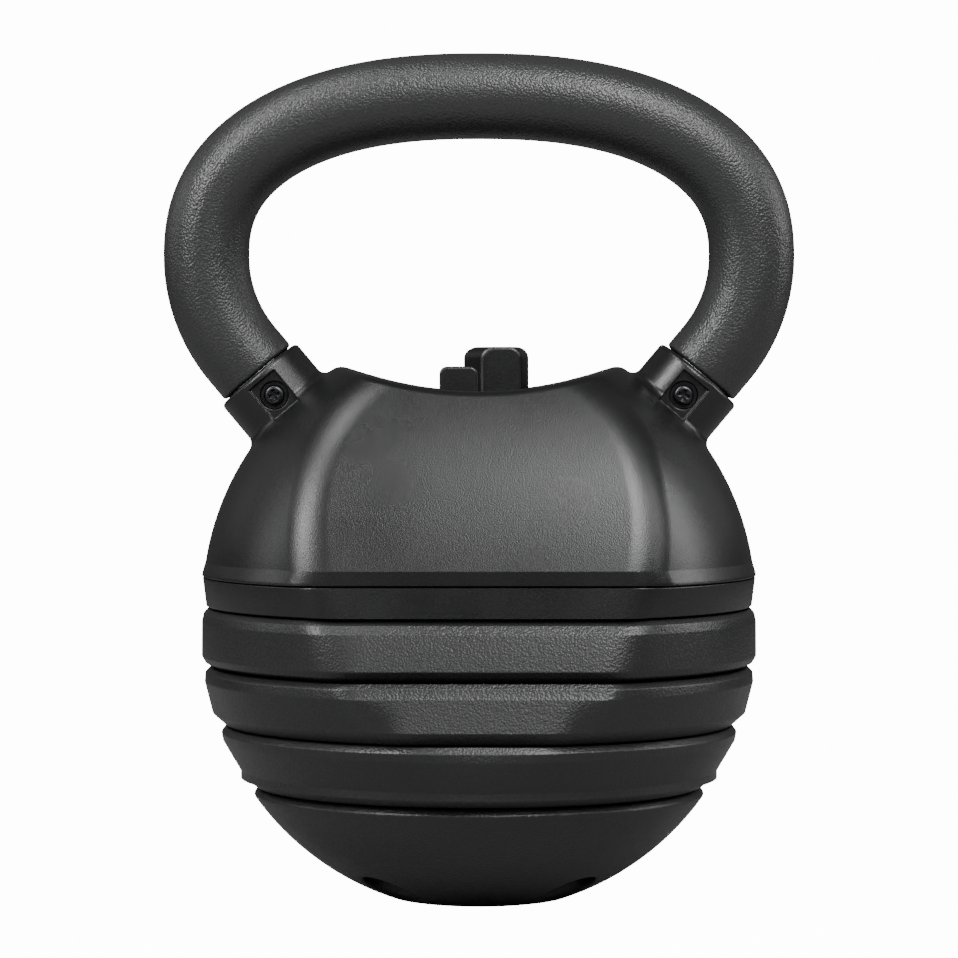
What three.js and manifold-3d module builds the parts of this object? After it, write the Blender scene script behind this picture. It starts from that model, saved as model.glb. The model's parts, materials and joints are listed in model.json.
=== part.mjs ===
// Adjustable kettlebell: a handle unit with a selector dial stands on three ring weights and a round
// bottom weight. The dial turns a central shaft whose cams hook under the hub plate of each weight.
// Millimetres, +Z up, origin on the floor under the centre of the base.
import * as THREE from 'three';
import { mergeVertices } from 'three/addons/utils/BufferGeometryUtils.js';
import Module from 'manifold-3d';

const wasm = await Module();
wasm.setup();

// ---------------------------------------------------------------- driving dimensions
const CLEARANCE = 0.3;        // between parts that touch
const STACK_GAP = 0.8;        // between one weight and the next
const SKIN = 3;               // moulded cover thickness
const RING_SEGMENTS = 28;     // large rings
const COLLAR_SEGMENTS = 14;   // hubs, bushings and sockets
const ROD_SEGMENTS = 8;       // screws, pins and their holes
const BEYOND = 1;             // how far a cutting tool passes the face it cuts

// The body is a ball: one sphere below the widest band and a slightly taller one above it.
const LOWER_BALL = { radius: 107.7, centre: 102.4 };
const UPPER_BALL = { radius: 108.4, centre: 115 };

// Front and back are flattened. The flat leans in above the datum height, and out below it in steps of
// [height, depth], until it runs out of the ball on plate 3.
const FLAT = { datum: 126, depth: 87.7, upperLean: 0.28, upperCurve: 0.0034 };
const FLAT_BELOW = [[126, 87.7], [114.2, 89.3], [95.5, 95.2], [88, 95.2], [72, 99.5], [60, 100.4], [0, 105]];

// Heights of the joints between the handle unit, the three plates and the bottom weight.
const SEAMS = [114.2, 91.2, 68.2, 44.0];

// Outer walls of the three plates, from the lower edge to the upper edge: [radius, height].
const PLATE_WALLS = [
  [[104.5, 0], [108.6, 4.1], [108.5, 17], [107.6, 20.8], [106, 22.2]],
  [[99.4, 0], [104.3, 4], [107.4, 16.3], [107.1, 20.2], [105.2, 22.2]],
  [[87.8, 0], [92, 3.4], [100.3, 17.6], [101, 20.8], [99.2, 23.4]],
];

const HUB = { coverBore: 34, coreBore: 27, keyBore: 11, notchReach: 25 };
const HUB_PLATE = { radius: 33.5, thickness: 3 };
const CAM = { thickness: 4, hubRadius: 10, lobeRadius: 24, lobeHalfAngle: 9, count: 4, gap: 0.4 };
const STEP_ANGLE = 22.5;      // dial turn from one weight setting to the next
const PIN = { radius: 4, hole: 4.6, reach: 60, rise: 6, depth: 12, socketDepth: 8 };

const SHAFT = { radius: 6, bore: 6.3, bottom: 25, top: 191.1, shoulderRadius: 9.6 };
const SHAFT_NUT = { radius: 9, height: 6, sides: 6 };
const BUSHING = { outer: 9.2, seat: 9.5, sleeve: 6 };

const SKIRT = { floor: 3.2, top: 124.9, wall: 3.5, upperRadius: 108.3, lowerRadius: 107.2, shaftHole: 10.7 };
const CHASSIS = { bottom: 118.1, thickness: 4, rim: 4.8 };
const SHELL = { wall: 3.5, bottom: 125.2, tipRadius: 108.5, flangeTip: 126.7, flangeTop: 129.8 };
const SHELL_CHAMFER = 0.2;
const SHELL_BANDS = { count: 8, height: 10 };
const SADDLE = { height: 198.4, radius: 150, steps: 64 };
const COLUMN = { reach: 97.3, angle: 30, radius: 5.2, top: 145, holeTop: 141, screwTop: 139 };
const BALLAST = { inner: 34, outer: 80, height: 27, halfSlot: 16, wallGap: 2 };

// The handle: a superellipse over the top, an arc at each side, then straight into the sockets.
const GRIP = { outer: 16.8, inner: 13.7, sides: 12, end: -0.5, steps: 28 };
const TUBE = { outer: 12.5, inner: 9.5, sides: 8, end: 26, steps: 28 };
const BOW = { halfWidth: 106.7, height: 251, rise: 62.7, power: 2.35, topSteps: 12 };
const BOW_SIDE = { arcRadius: 59.2, dive: 40, straight: 10.3, arcSteps: 4 };
const BOSS = { radius: 19, depth: 31, bore: 13.6, boreDepth: 37, outside: 26 };
const BOSS_SCREW = { depth: 10.7, pad: 16.6, seat: 14.8, counterbore: 5.5, padHalf: 7.2, tip: 0.5 };
const BRACKET = { thickness: 6, tongueHalf: 6, start: 4, end: 30 };
const BRACKET_STRAP = { inner: 58, outer: 70, innerHeight: 48, outerHeight: 44, bend: 8 };
const BRACKET_FOOT = { inner: 50, outer: 84, height: 4 };
const SCREW = { shank: 2, hole: 2.3, head: 4, headHeight: 2.4 };

const DIAL = { disc: 25, flange: 27.5, opening: 25.4, bottom: 191.4, step: 194.3, top: 196.9 };
const DIAL_NOTCH = { root: 23.8, half: 2.6 };
const DIAL_SCREW = { head: 4.5, recess: 5, hole: 2.8, length: 12, holeLength: 14 };
const KNOB = { bottom: 197.2, top: 215.7, rear: [-5.9, 19.4], front: [1.1, 16.6], halfDepth: 9, corner: 4.5 };
const RETAINER = { radius: 44, bottom: 188.2, top: 191.1 };
const RETAINER_POST = { reach: 36, radius: 4.2, top: 200.5, holeTop: 198, screwTop: 197 };
const SLIDER = { tab: [-15.2, -0.4], tabFront: -38, tabDepth: 6, top: 208, travel: 4 };
const SLIDER_BASE = { x: [-18, 4.5], y: [-43, -32], z: [191.7, 194], tongueTip: -28.3, tongueHalf: 2 };

const BASE_PAD = { radius: 33.5, height: 3, bowlEdge: 37 };
const BOWL = { lip: 2.7, lipDrop: 1.8, steps: 6, floorReach: 39 };
const POCKET = { reach: 48, radius: 10.3, ceiling: 14, cup: 12.5, screwHead: 4.8, screwEnd: 26, holeEnd: 27 };
const BOTTOM_WELL = 22;       // floor of the shaft's well in the bottom core

// ---------------------------------------------------------------- solid-making helpers

// Closed, outward-facing solid from any closed three.js geometry.
function solid(geometry) {
  const bare = geometry.index ? geometry.toNonIndexed() : geometry.clone();
  bare.deleteAttribute('normal');
  bare.deleteAttribute('uv');
  const merged = mergeVertices(bare, 1e-4);
  const places = merged.attributes.position;
  const corner = (i) => new THREE.Vector3().fromBufferAttribute(places, i);
  const faces = [];
  let volume = 0;
  for (let i = 0; i < merged.index.count; i += 3) {
    const [a, b, c] = [0, 1, 2].map((k) => merged.index.getX(i + k));
    if (a === b || b === c || c === a) continue;
    faces.push([a, b, c]);
    volume += corner(a).dot(corner(b).cross(corner(c)));
  }
  const outward = volume > 0 ? faces : faces.map(([a, b, c]) => [a, c, b]);
  return new wasm.Manifold(new wasm.Mesh({
    numProp: 3,
    vertProperties: new Float32Array(places.array),
    triVerts: new Uint32Array(outward.flat()),
  }));
}

function geometryOf(manifold) {
  const mesh = manifold.getMesh();
  const geometry = new THREE.BufferGeometry();
  geometry.setAttribute('position', new THREE.BufferAttribute(new Float32Array(mesh.vertProperties), 3));
  geometry.setIndex(new THREE.BufferAttribute(new Uint32Array(mesh.triVerts), 1));
  return geometry;
}

const cut = (body, ...tools) => tools.reduce((rest, tool) => rest.subtract(tool), body);
const join = (...bodies) => bodies.reduce((sum, body) => sum.add(body));

// Turned solid about Z from a profile of [radius, z] points that starts and ends on the axis.
function turned(profile, segments = RING_SEGMENTS) {
  const points = profile.map(([radius, z]) => new THREE.Vector2(radius, z));
  return new THREE.LatheGeometry(points, segments).rotateX(Math.PI / 2);
}

function disc(radius, bottom, top, segments = RING_SEGMENTS) {
  return solid(turned([[0, bottom], [radius, bottom], [radius, top], [0, top]], segments));
}

function tubeRing(inner, outer, bottom, top, segments = RING_SEGMENTS) {
  return cut(disc(outer, bottom, top, segments), disc(inner, bottom - BEYOND, top + BEYOND, segments));
}

function rod(radius, bottom, top, x = 0, y = 0) {
  return disc(radius, bottom, top, ROD_SEGMENTS).translate([x, y, 0]);
}

// Round rod along Y from one depth to another.
function crossRod(radius, from, to, x, z, segments = ROD_SEGMENTS) {
  const geometry = new THREE.CylinderGeometry(radius, radius, to - from, segments);
  return solid(geometry.translate(x, (from + to) / 2, z));
}

function block([x0, x1], [y0, y1], [z0, z1]) {
  const geometry = new THREE.BoxGeometry(x1 - x0, y1 - y0, z1 - z0);
  return solid(geometry.translate((x0 + x1) / 2, (y0 + y1) / 2, (z0 + z1) / 2));
}

// Ordered pair of depths on the front (facing -1) or rear (facing 1) side.
const depths = (facing, from, to) => [facing * from, facing * to].sort((a, b) => a - b);

const polar = (reach, degrees) => {
  const angle = THREE.MathUtils.degToRad(degrees);
  return [reach * Math.cos(angle), reach * Math.sin(angle)];
};

// Two opposite pie slices about Z, each between two angles in degrees.
function slicePair(radius, from, to, bottom, top) {
  const options = { depth: top - bottom, bevelEnabled: false, curveSegments: 5 };
  const slices = [0, 180].map((turn) => {
    const slice = new THREE.Shape();
    slice.absarc(0, 0, radius, ...[from + turn, to + turn].map(THREE.MathUtils.degToRad), false);
    slice.lineTo(0, 0);
    return solid(new THREE.ExtrudeGeometry(slice, options).translate(0, 0, bottom));
  });
  return join(...slices);
}

// ---------------------------------------------------------------- the body's outer form

function flatDepth(z) {
  const rise = z - FLAT.datum;
  if (rise > 0) return FLAT.depth - FLAT.upperLean * rise - FLAT.upperCurve * rise * rise;
  const next = FLAT_BELOW.findIndex(([height], index) => index > 0 && height <= z);
  if (next < 0) return FLAT_BELOW.at(-1)[1];
  const [[high, highDepth], [low, lowDepth]] = [FLAT_BELOW[next - 1], FLAT_BELOW[next]];
  return THREE.MathUtils.mapLinear(z, high, low, highDepth, lowDepth);
}

function ballRadius(ball, z) {
  return Math.sqrt(ball.radius ** 2 - (z - ball.centre) ** 2);
}

// Solid of revolution inside an outer wall, with flattened front and back, inset on every side.
function flattened(wall, inset = 0) {
  const low = wall[0][1] + inset;
  const high = wall.at(-1)[1] - inset;
  const side = wall.map(([radius, z]) => [radius - inset, THREE.MathUtils.clamp(z, low, high)]);
  const geometry = turned([[0, low], ...side, [0, high]]);
  const places = geometry.attributes.position;
  for (let i = 0; i < places.count; i += 1) {
    const limit = flatDepth(places.getZ(i)) - inset;
    places.setY(i, THREE.MathUtils.clamp(places.getY(i), -limit, limit));
  }
  return solid(geometry);
}

// ---------------------------------------------------------------- the scene

const kettlebell = new THREE.Group();
kettlebell.name = 'kettlebell';

const FINISHES = {
  shell: { color: 0x2b2c2e, roughness: 0.55, metalness: 0 },
  grain: { color: 0x27282a, roughness: 0.7, metalness: 0 },
  grip: { color: 0x2a2b2d, roughness: 0.75, metalness: 0 },
  rubber: { color: 0x141414, roughness: 0.9, metalness: 0 },
  iron: { color: 0x3a3a3c, roughness: 0.65, metalness: 0.6 },
  steel: { color: 0x8d9094, roughness: 0.35, metalness: 1 },
  screw: { color: 0x17181a, roughness: 0.35, metalness: 0.9 },
  nylon: { color: 0x1c1d1f, roughness: 0.45, metalness: 0 },
};

function place(name, shape, finish, parent = kettlebell) {
  const geometry = shape instanceof THREE.BufferGeometry ? shape : geometryOf(shape);
  const mesh = new THREE.Mesh(geometry, new THREE.MeshStandardMaterial(FINISHES[finish]));
  mesh.name = name;
  parent.add(mesh);
  return mesh;
}

// ---------------------------------------------------------------- weights

const topOf = (level) => SEAMS[level] - STACK_GAP / 2;

// Steel plate with a bore and two opposite quarter-circle notches. Each weight's notches are turned
// one dial step further round, so the cams catch the plates one after another.
function hubPlate(level) {
  const top = topOf(level) - CLEARANCE;
  const bottom = top - HUB_PLATE.thickness;
  const notchEnd = STEP_ANGLE * (level + 0.5);
  const notches = slicePair(HUB.notchReach, notchEnd - 90, notchEnd, bottom - BEYOND, top + BEYOND);
  return cut(disc(HUB_PLATE.radius, bottom, top), disc(HUB.keyBore, bottom - BEYOND, top + BEYOND), notches);
}

function pinRods(radius, bottom, top) {
  return [-1, 1].map((side) => rod(radius, bottom, top, side * PIN.reach));
}

// Locating pins stand up from a weight into sockets in whatever sits on it.
function placePins(name, top) {
  const [left, right] = pinRods(PIN.radius, top - PIN.depth, top + PIN.rise);
  place(`${name}_pin_left`, left, 'steel');
  place(`${name}_pin_right`, right, 'steel');
}

function makePlate(level) {
  const name = `plate_${level}`;
  const bottom = SEAMS[level] + STACK_GAP / 2;
  const top = topOf(level - 1);
  const wall = PLATE_WALLS[level - 1].map(([radius, height]) => [radius, bottom + height]);
  const pinHoles = [
    ...pinRods(PIN.radius + CLEARANCE, top - PIN.depth - CLEARANCE, top + BEYOND),
    ...pinRods(PIN.hole, bottom - BEYOND, bottom + PIN.socketDepth),
  ];
  const bore = disc(HUB.coverBore, bottom - BEYOND, top + BEYOND);
  place(`${name}_cover`, cut(flattened(wall), flattened(wall, SKIN), bore, ...pinHoles), 'grain');

  const well = disc(HUB.coreBore, bottom - BEYOND, top + BEYOND);
  place(`${name}_core`, cut(flattened(wall, SKIN + CLEARANCE), well, ...pinHoles), 'iron');
  place(`${name}_hub_plate`, hubPlate(level - 1), 'steel');
  placePins(name, top);
}

// Bowl wall: the lower ball from the foot pad up to a small lip under the first gap.
function bowlWall() {
  const lipHeight = topOf(3);
  const arcTop = lipHeight - BOWL.lip;
  const widest = ballRadius(LOWER_BALL, arcTop);
  const arc = [];
  for (let step = 0; step <= BOWL.steps; step += 1) {
    const radius = THREE.MathUtils.lerp(BASE_PAD.bowlEdge, widest, step / BOWL.steps);
    arc.push([radius, LOWER_BALL.centre - Math.sqrt(LOWER_BALL.radius ** 2 - radius ** 2)]);
  }
  return [...arc, [widest - BOWL.lipDrop, lipHeight]];
}

function makeBottomWeight() {
  const top = topOf(3);
  const wall = bowlWall();
  const outer = flattened(wall);
  const padTop = BASE_PAD.height + CLEARANCE;
  const pockets = [45, 135, 225, 315].map((angle) => polar(POCKET.reach, angle));
  const pinHoles = pinRods(PIN.radius + CLEARANCE, top - PIN.depth - CLEARANCE, top + BEYOND);
  const screwHoles = pockets.map(([x, y]) => rod(SCREW.hole, POCKET.ceiling - BEYOND, POCKET.holeEnd, x, y));

  const cups = pockets.map(([x, y]) => rod(POCKET.cup, 0, POCKET.ceiling + SKIN, x, y).intersect(outer));
  const hollows = pockets.map(([x, y]) => rod(POCKET.radius, -BEYOND, POCKET.ceiling, x, y));
  const mouth = disc(HUB.coverBore, top - SKIN - BEYOND, top + BEYOND);
  const bowl = cut(outer, flattened(wall, SKIN), mouth);
  const recess = disc(BASE_PAD.radius + CLEARANCE, -BEYOND, padTop);
  const floorDisc = disc(BOWL.floorReach, padTop, padTop + SKIN);
  const cover = cut(join(bowl, floorDisc, ...cups), recess, ...hollows, ...screwHoles, ...pinHoles);
  place('bottom_cover', cover, 'grain');

  const coreFloor = disc(HUB.coverBore * 3, -BEYOND, padTop + SKIN + CLEARANCE);
  const cupRoom = pockets.map(([x, y]) => (
    rod(POCKET.cup + CLEARANCE, -BEYOND, POCKET.ceiling + SKIN + CLEARANCE, x, y)
  ));
  const well = disc(HUB.coreBore, BOTTOM_WELL, top + BEYOND);
  const casting = cut(flattened(wall, SKIN + CLEARANCE), coreFloor, well);
  const core = cut(casting, ...cupRoom, ...screwHoles, ...pinHoles);
  place('bottom_core', core, 'iron');

  place('bottom_hub_plate', hubPlate(3), 'steel');
  placePins('bottom', top);
  place('base_pad', disc(BASE_PAD.radius, 0, BASE_PAD.height), 'rubber');

  const headTop = POCKET.ceiling - CLEARANCE;
  pockets.forEach(([x, y], index) => {
    const head = rod(POCKET.screwHead, headTop - SCREW.headHeight, headTop, x, y);
    const shank = rod(SCREW.shank, headTop - BEYOND, POCKET.screwEnd, x, y);
    place(`bottom_screw_${index + 1}`, join(head, shank), 'screw');
  });
}

// ---------------------------------------------------------------- handle

// Right-hand half of the handle's centre line, from the top middle down into the socket.
function halfBow() {
  const points = [];
  for (let step = 0; step <= BOW.topSteps; step += 1) {
    const angle = (Math.PI / 2) * (1 - step / BOW.topSteps);
    const x = BOW.halfWidth * Math.cos(angle) ** (2 / BOW.power);
    const z = BOW.height + BOW.rise * Math.sin(angle) ** (2 / BOW.power);
    points.push(new THREE.Vector3(x, 0, z));
  }
  for (let step = 1; step <= BOW_SIDE.arcSteps; step += 1) {
    const turn = THREE.MathUtils.degToRad(BOW_SIDE.dive * (step / BOW_SIDE.arcSteps));
    const x = BOW.halfWidth - BOW_SIDE.arcRadius * (1 - Math.cos(turn));
    points.push(new THREE.Vector3(x, 0, BOW.height - BOW_SIDE.arcRadius * Math.sin(turn)));
  }
  return points;
}

const diveAngle = THREE.MathUtils.degToRad(BOW_SIDE.dive);
const DIVE = new THREE.Vector3(-Math.sin(diveAngle), 0, -Math.cos(diveAngle));
const COLLAR = halfBow().at(-1).clone().addScaledVector(DIVE, BOW_SIDE.straight);

// Whole centre line, ending at a given depth below each collar.
function bowCurve(depth) {
  const half = halfBow();
  half.push(COLLAR.clone().addScaledVector(DIVE, depth));
  const mirror = half.slice(1).reverse().map((point) => new THREE.Vector3(-point.x, 0, point.z));
  return new THREE.CatmullRomCurve3([...mirror, ...half], false, 'centripetal');
}

// Hollow bar along the handle's centre line.
function bentTube({ outer, inner, sides, end, steps }) {
  const section = new THREE.Shape();
  section.absarc(0, 0, outer, 0, 2 * Math.PI, false);
  const hole = new THREE.Path();
  hole.absarc(0, 0, inner, 0, 2 * Math.PI, true);
  section.holes.push(hole);
  return solid(new THREE.ExtrudeGeometry(section, {
    steps, curveSegments: sides / 2, bevelEnabled: false, extrudePath: bowCurve(end),
  }));
}

// Rod along the handle's axis in one socket, between two depths below the collar.
function socketRod(radius, from, to, side, segments = COLLAR_SEGMENTS) {
  const geometry = new THREE.CylinderGeometry(radius, radius, to - from, segments);
  geometry.translate(0, -(from + to) / 2, 0).rotateX(Math.PI / 2);
  geometry.rotateY(side * diveAngle);
  return solid(geometry.translate(side * COLLAR.x, 0, COLLAR.z));
}

// Block lying along the handle's axis in one socket, between two depths below the collar.
function socketBlock(halfWidth, from, to, y0, y1, side) {
  const geometry = new THREE.BoxGeometry(2 * halfWidth, y1 - y0, to - from);
  geometry.translate(0, (y0 + y1) / 2, -(from + to) / 2).rotateY(side * diveAngle);
  return solid(geometry.translate(side * COLLAR.x, 0, COLLAR.z));
}

function screwPlace(side) {
  const spot = COLLAR.clone().addScaledVector(DIVE, BOSS_SCREW.depth);
  return [side * spot.x, spot.z];
}

function crossHoles(radius, reach) {
  return [-1, 1].map((side) => crossRod(radius, -reach, reach, ...screwPlace(side)));
}

// Flat steel bracket: a tongue up into the tube, a strap and a foot on the chassis plate.
function bracket(side) {
  const along = (depth, across) => {
    const spot = COLLAR.clone().addScaledVector(DIVE, depth);
    return [spot.x + across * Math.cos(diveAngle), spot.z - across * Math.sin(diveAngle)];
  };
  const floor = CHASSIS.bottom + CHASSIS.thickness + CLEARANCE;
  const { inner, outer, innerHeight, outerHeight, bend } = BRACKET_STRAP;
  const outline = [
    along(BRACKET.start, -BRACKET.tongueHalf), along(BRACKET.start, BRACKET.tongueHalf),
    along(BRACKET.end, BRACKET.tongueHalf), [outer, floor + outerHeight], [outer, floor + bend],
    [BRACKET_FOOT.outer, floor + BRACKET_FOOT.height], [BRACKET_FOOT.outer, floor],
    [BRACKET_FOOT.inner, floor], [BRACKET_FOOT.inner, floor + BRACKET_FOOT.height],
    [inner, floor + bend], [inner, floor + innerHeight], along(BRACKET.end, -BRACKET.tongueHalf),
  ];
  const shape = new THREE.Shape(outline.map(([x, z]) => new THREE.Vector2(side * x, z)));
  const geometry = new THREE.ExtrudeGeometry(shape, { depth: BRACKET.thickness, bevelEnabled: false });
  geometry.rotateX(Math.PI / 2).translate(0, BRACKET.thickness / 2, 0);
  return cut(solid(geometry), ...crossHoles(SCREW.hole, BRACKET.thickness));
}

function makeHandle() {
  const grip = bentTube(GRIP);
  const tube = cut(bentTube(TUBE), ...crossHoles(SCREW.hole, TUBE.outer + BEYOND));
  place('handle_grip', grip, 'grip');
  place('handle_tube', tube, 'steel');
  for (const [word, side] of [['left', -1], ['right', 1]]) {
    place(`handle_bracket_${word}`, bracket(side), 'steel');
    const [x, z] = screwPlace(side);
    const seat = BOSS_SCREW.seat + CLEARANCE;
    for (const [end, facing] of [['front', -1], ['rear', 1]]) {
      const head = crossRod(SCREW.head, ...depths(facing, seat, seat + SCREW.headHeight), x, z);
      const shank = crossRod(SCREW.shank, ...depths(facing, BOSS_SCREW.tip, seat + BEYOND), x, z);
      place(`handle_screw_${end}_${word}`, join(head, shank), 'screw');
    }
  }
}

// ---------------------------------------------------------------- handle unit's body

function shellWall() {
  const wall = [
    [SHELL.tipRadius - SHELL_CHAMFER, SHELL.bottom], [SHELL.tipRadius, SHELL.flangeTip],
    [ballRadius(UPPER_BALL, SHELL.flangeTop) - SHELL_CHAMFER, SHELL.flangeTop],
  ];
  for (let step = 1; step <= SHELL_BANDS.count; step += 1) {
    const z = SHELL.flangeTop + step * SHELL_BANDS.height;
    wall.push([ballRadius(UPPER_BALL, z), z]);
  }
  return wall;
}

function saddleRoll(inset) {
  const radius = SADDLE.radius + inset;
  const reach = UPPER_BALL.radius + BEYOND;
  return crossRod(radius, -reach, reach, 0, SADDLE.height + SADDLE.radius, SADDLE.steps);
}

function makeShell() {
  const wall = shellWall();
  const inner = wall.map(([radius, z]) => [radius, z]);
  inner[0][1] -= SHELL.wall + BEYOND;
  inner[inner.length - 1][1] += SHELL.wall;
  const outer = cut(flattened(wall), saddleRoll(0));
  const cavity = cut(flattened(inner, SHELL.wall), saddleRoll(SHELL.wall));
  const sockets = [-1, 1].map((side) => socketRod(BOSS.radius, 0, BOSS.depth, side));
  const bores = [-1, 1].map((side) => socketRod(BOSS.bore, -BEYOND, BOSS.boreDepth, side));

  const columnSpots = [COLUMN.angle, 180 - COLUMN.angle, 180 + COLUMN.angle, -COLUMN.angle]
    .map((angle) => polar(COLUMN.reach, angle));
  const columnFoot = CHASSIS.bottom + CHASSIS.thickness + CLEARANCE;
  const columns = columnSpots.map(([x, y]) => rod(COLUMN.radius, columnFoot, COLUMN.top, x, y));
  const columnHoles = columnSpots.map(([x, y]) => rod(SCREW.hole, columnFoot - BEYOND, COLUMN.holeTop, x, y));

  const postRod = (radius, top) => [-1, 1].map((side) => (
    rod(radius, RETAINER.top + CLEARANCE, top, side * RETAINER_POST.reach)
  ));
  const posts = postRod(RETAINER_POST.radius, RETAINER_POST.top);
  const postHoles = postRod(SCREW.hole, RETAINER_POST.holeTop);

  const pads = [];
  const counterbores = [];
  const padSpan = [BOSS_SCREW.depth - BOSS_SCREW.padHalf, BOSS_SCREW.depth + BOSS_SCREW.padHalf];
  for (const side of [-1, 1]) {
    for (const facing of [-1, 1]) {
      const padDepth = depths(facing, BOSS_SCREW.pad, BOSS.outside);
      pads.push(socketBlock(BOSS_SCREW.padHalf, ...padSpan, ...padDepth, side));
      const sink = depths(facing, BOSS_SCREW.seat, BOSS.outside);
      counterbores.push(crossRod(BOSS_SCREW.counterbore, ...sink, ...screwPlace(side), COLLAR_SEGMENTS));
    }
  }
  const sliderSlot = block(
    [SLIDER.tab[0] - CLEARANCE, SLIDER.tab[1] + CLEARANCE],
    [SLIDER.tabFront - CLEARANCE, SLIDER.tabFront + SLIDER.tabDepth + SLIDER.travel + CLEARANCE],
    [SLIDER_BASE.z[1], SLIDER.top],
  );
  const shell = cut(
    join(cut(outer, cavity), ...sockets, ...columns, ...posts),
    ...bores, ...crossHoles(SCREW.hole, BOSS.outside), ...pads, ...counterbores, ...columnHoles, ...postHoles,
    disc(DIAL.opening, DIAL.bottom, SADDLE.height + SHELL.wall), sliderSlot,
  );
  place('upper_shell', shell, 'shell');
  return columnSpots;
}

function makeSkirtAndChassis(columnSpots) {
  const bottom = SEAMS[0] + STACK_GAP / 2;
  const wall = [[SKIRT.lowerRadius, bottom], [SKIRT.upperRadius, SKIRT.top]];
  const hollow = wall.map(([radius, z]) => [radius, z]);
  hollow[0][1] = bottom + SKIRT.floor - SKIRT.wall;
  hollow[1][1] = SKIRT.top + SKIRT.wall + BEYOND;
  const headSeat = bottom + SCREW.headHeight;
  const heads = columnSpots.map(([x, y]) => rod(SCREW.head + CLEARANCE, bottom - BEYOND, headSeat, x, y));
  const holes = columnSpots.map(([x, y]) => rod(SCREW.hole, bottom - BEYOND, SKIRT.top, x, y));
  const pinHoles = pinRods(PIN.hole, bottom - BEYOND, SKIRT.top);
  const shaftHole = disc(SKIRT.shaftHole, bottom - BEYOND, SKIRT.top, COLLAR_SEGMENTS);
  const tray = cut(flattened(wall), flattened(hollow, SKIRT.wall));
  place('base_skirt', cut(tray, ...heads, ...holes, ...pinHoles, shaftHole), 'shell');

  const chassisTop = CHASSIS.bottom + CHASSIS.thickness;
  const chassisWall = [
    [SKIRT.lowerRadius, CHASSIS.bottom - CHASSIS.rim], [SKIRT.upperRadius, chassisTop + CHASSIS.rim],
  ];
  const bushingSeat = disc(BUSHING.seat, CHASSIS.bottom - BEYOND, chassisTop + BEYOND, COLLAR_SEGMENTS);
  const chassis = cut(flattened(chassisWall, CHASSIS.rim), ...holes, ...pinHoles, bushingSeat);
  place('chassis_plate', chassis, 'steel');
  const sleeveTop = chassisTop + BUSHING.sleeve;
  const sleeve = tubeRing(SHAFT.bore, BUSHING.outer, CHASSIS.bottom, sleeveTop, COLLAR_SEGMENTS);
  place('lower_bushing', sleeve, 'nylon');

  columnSpots.forEach(([x, y], index) => {
    const head = rod(SCREW.head, bottom + CLEARANCE, headSeat - CLEARANCE, x, y);
    const shank = rod(SCREW.shank, headSeat - BEYOND, COLUMN.screwTop, x, y);
    place(`skirt_screw_${index + 1}`, join(head, shank), 'screw');
  });

  const ballastFloor = chassisTop + CLEARANCE;
  const ballastTop = ballastFloor + BALLAST.height;
  const ring = tubeRing(BALLAST.inner, BALLAST.outer, ballastFloor, ballastTop);
  const limit = flatDepth(ballastTop) - SHELL.wall - BALLAST.wallGap;
  const width = [-BALLAST.outer - BEYOND, BALLAST.outer + BEYOND];
  for (const [word, facing] of [['front', -1], ['rear', 1]]) {
    const span = depths(facing, BALLAST.halfSlot, limit);
    const zone = block(width, span, [ballastFloor - BEYOND, ballastTop + BEYOND]);
    place(`ballast_${word}`, ring.intersect(zone), 'iron');
  }
}

// ---------------------------------------------------------------- selector

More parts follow.
